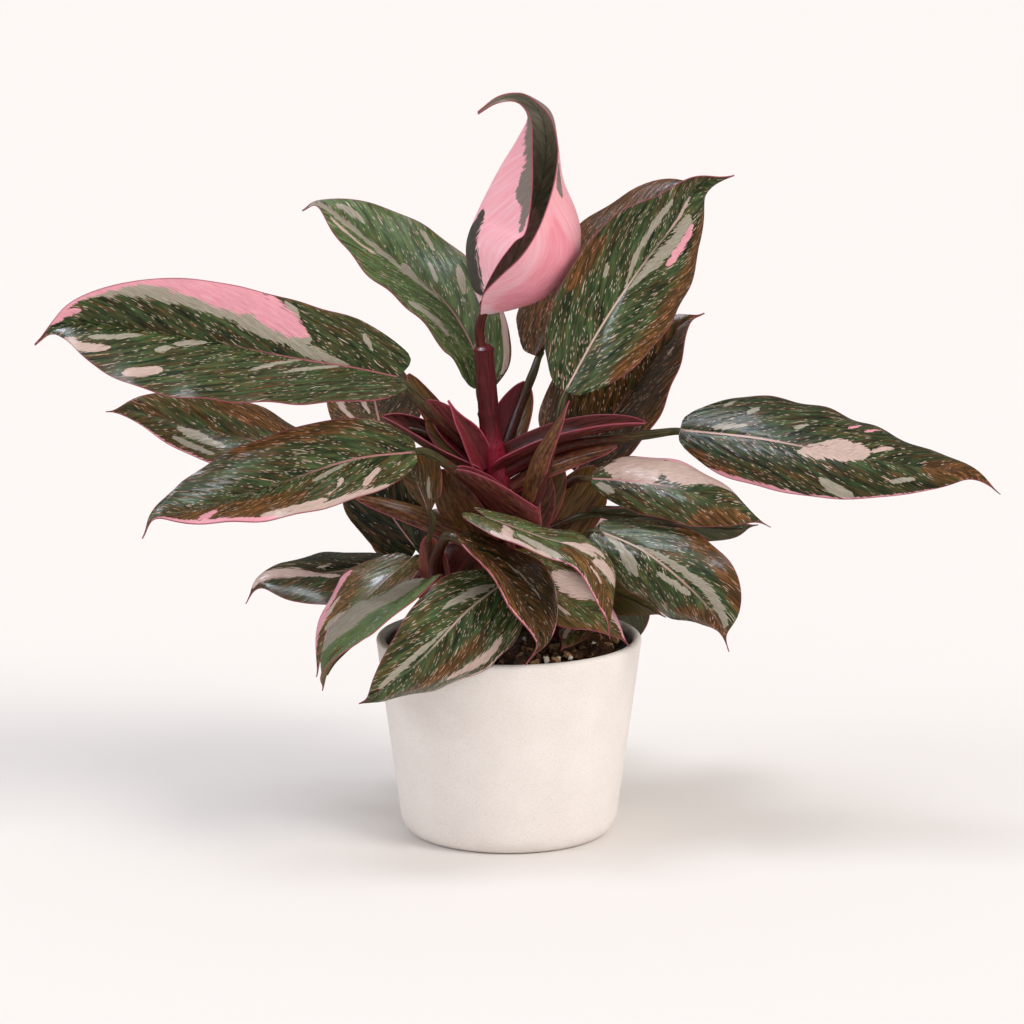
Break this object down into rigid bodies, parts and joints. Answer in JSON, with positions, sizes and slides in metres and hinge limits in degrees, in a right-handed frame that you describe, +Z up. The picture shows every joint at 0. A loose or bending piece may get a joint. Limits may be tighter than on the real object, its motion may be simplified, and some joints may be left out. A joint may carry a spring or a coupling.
{
  "type": "pink princess philodendron in a pot",
  "caption": "Variegated philodendron with green and pink heart-shaped leaves on maroon petioles, in a nursery pot inside a straight tapered stoneware cover pot.",
  "frame": {"origin": "centre of the cover pot's flat base, on the surface it stands on", "axes": "+Z up along the pot's axis; +X to the right of the plant's front; the front faces -Y"},
  "size_m": [0.4965, 0.2851, 0.3917],
  "materials": {
    "stoneware": "matte",
    "nursery_plastic": "satin",
    "bark_mix": "matte",
    "petiole_tissue": "satin",
    "leaf_tissue": "satin",
    "pink_leaf_tissue": "satin"
  },
  "bodies": {
    "root": {"cover_pot": "stoneware", "nursery_pot": "nursery_plastic", "potting_mix": "bark_mix", "shoot_main": "petiole_tissue", "shoot_left": "petiole_tissue", "shoot_right": "petiole_tissue", "leaf_left_high": "leaf_tissue", "leaf_left_low": "leaf_tissue", "leaf_left_back": "leaf_tissue", "leaf_left_rear": "leaf_tissue", "leaf_top_left": "leaf_tissue", "leaf_top_right": "leaf_tissue", "leaf_top_right_back": "leaf_tissue", "leaf_right_back": "leaf_tissue", "leaf_right_high": "leaf_tissue", "leaf_right_mid": "leaf_tissue", "leaf_right_under": "leaf_tissue", "leaf_right_low": "leaf_tissue", "leaf_right_drop": "leaf_tissue", "leaf_centre_right": "leaf_tissue", "leaf_centre_down": "leaf_tissue", "leaf_centre_low": "leaf_tissue", "leaf_front": "leaf_tissue", "leaf_fold_top": "leaf_tissue", "leaf_fold_low": "leaf_tissue", "leaf_left_tip": "leaf_tissue", "leaf_left_dark": "leaf_tissue", "leaf_small": "leaf_tissue", "leaf_shade_right": "leaf_tissue", "leaf_shade_left": "leaf_tissue", "leaf_soil": "leaf_tissue", "leaf_back_mid": "leaf_tissue", "leaf_back_left": "leaf_tissue", "leaf_back_right": "leaf_tissue", "leaf_rolled": "pink_leaf_tissue"}
  },
  "joints": []
}
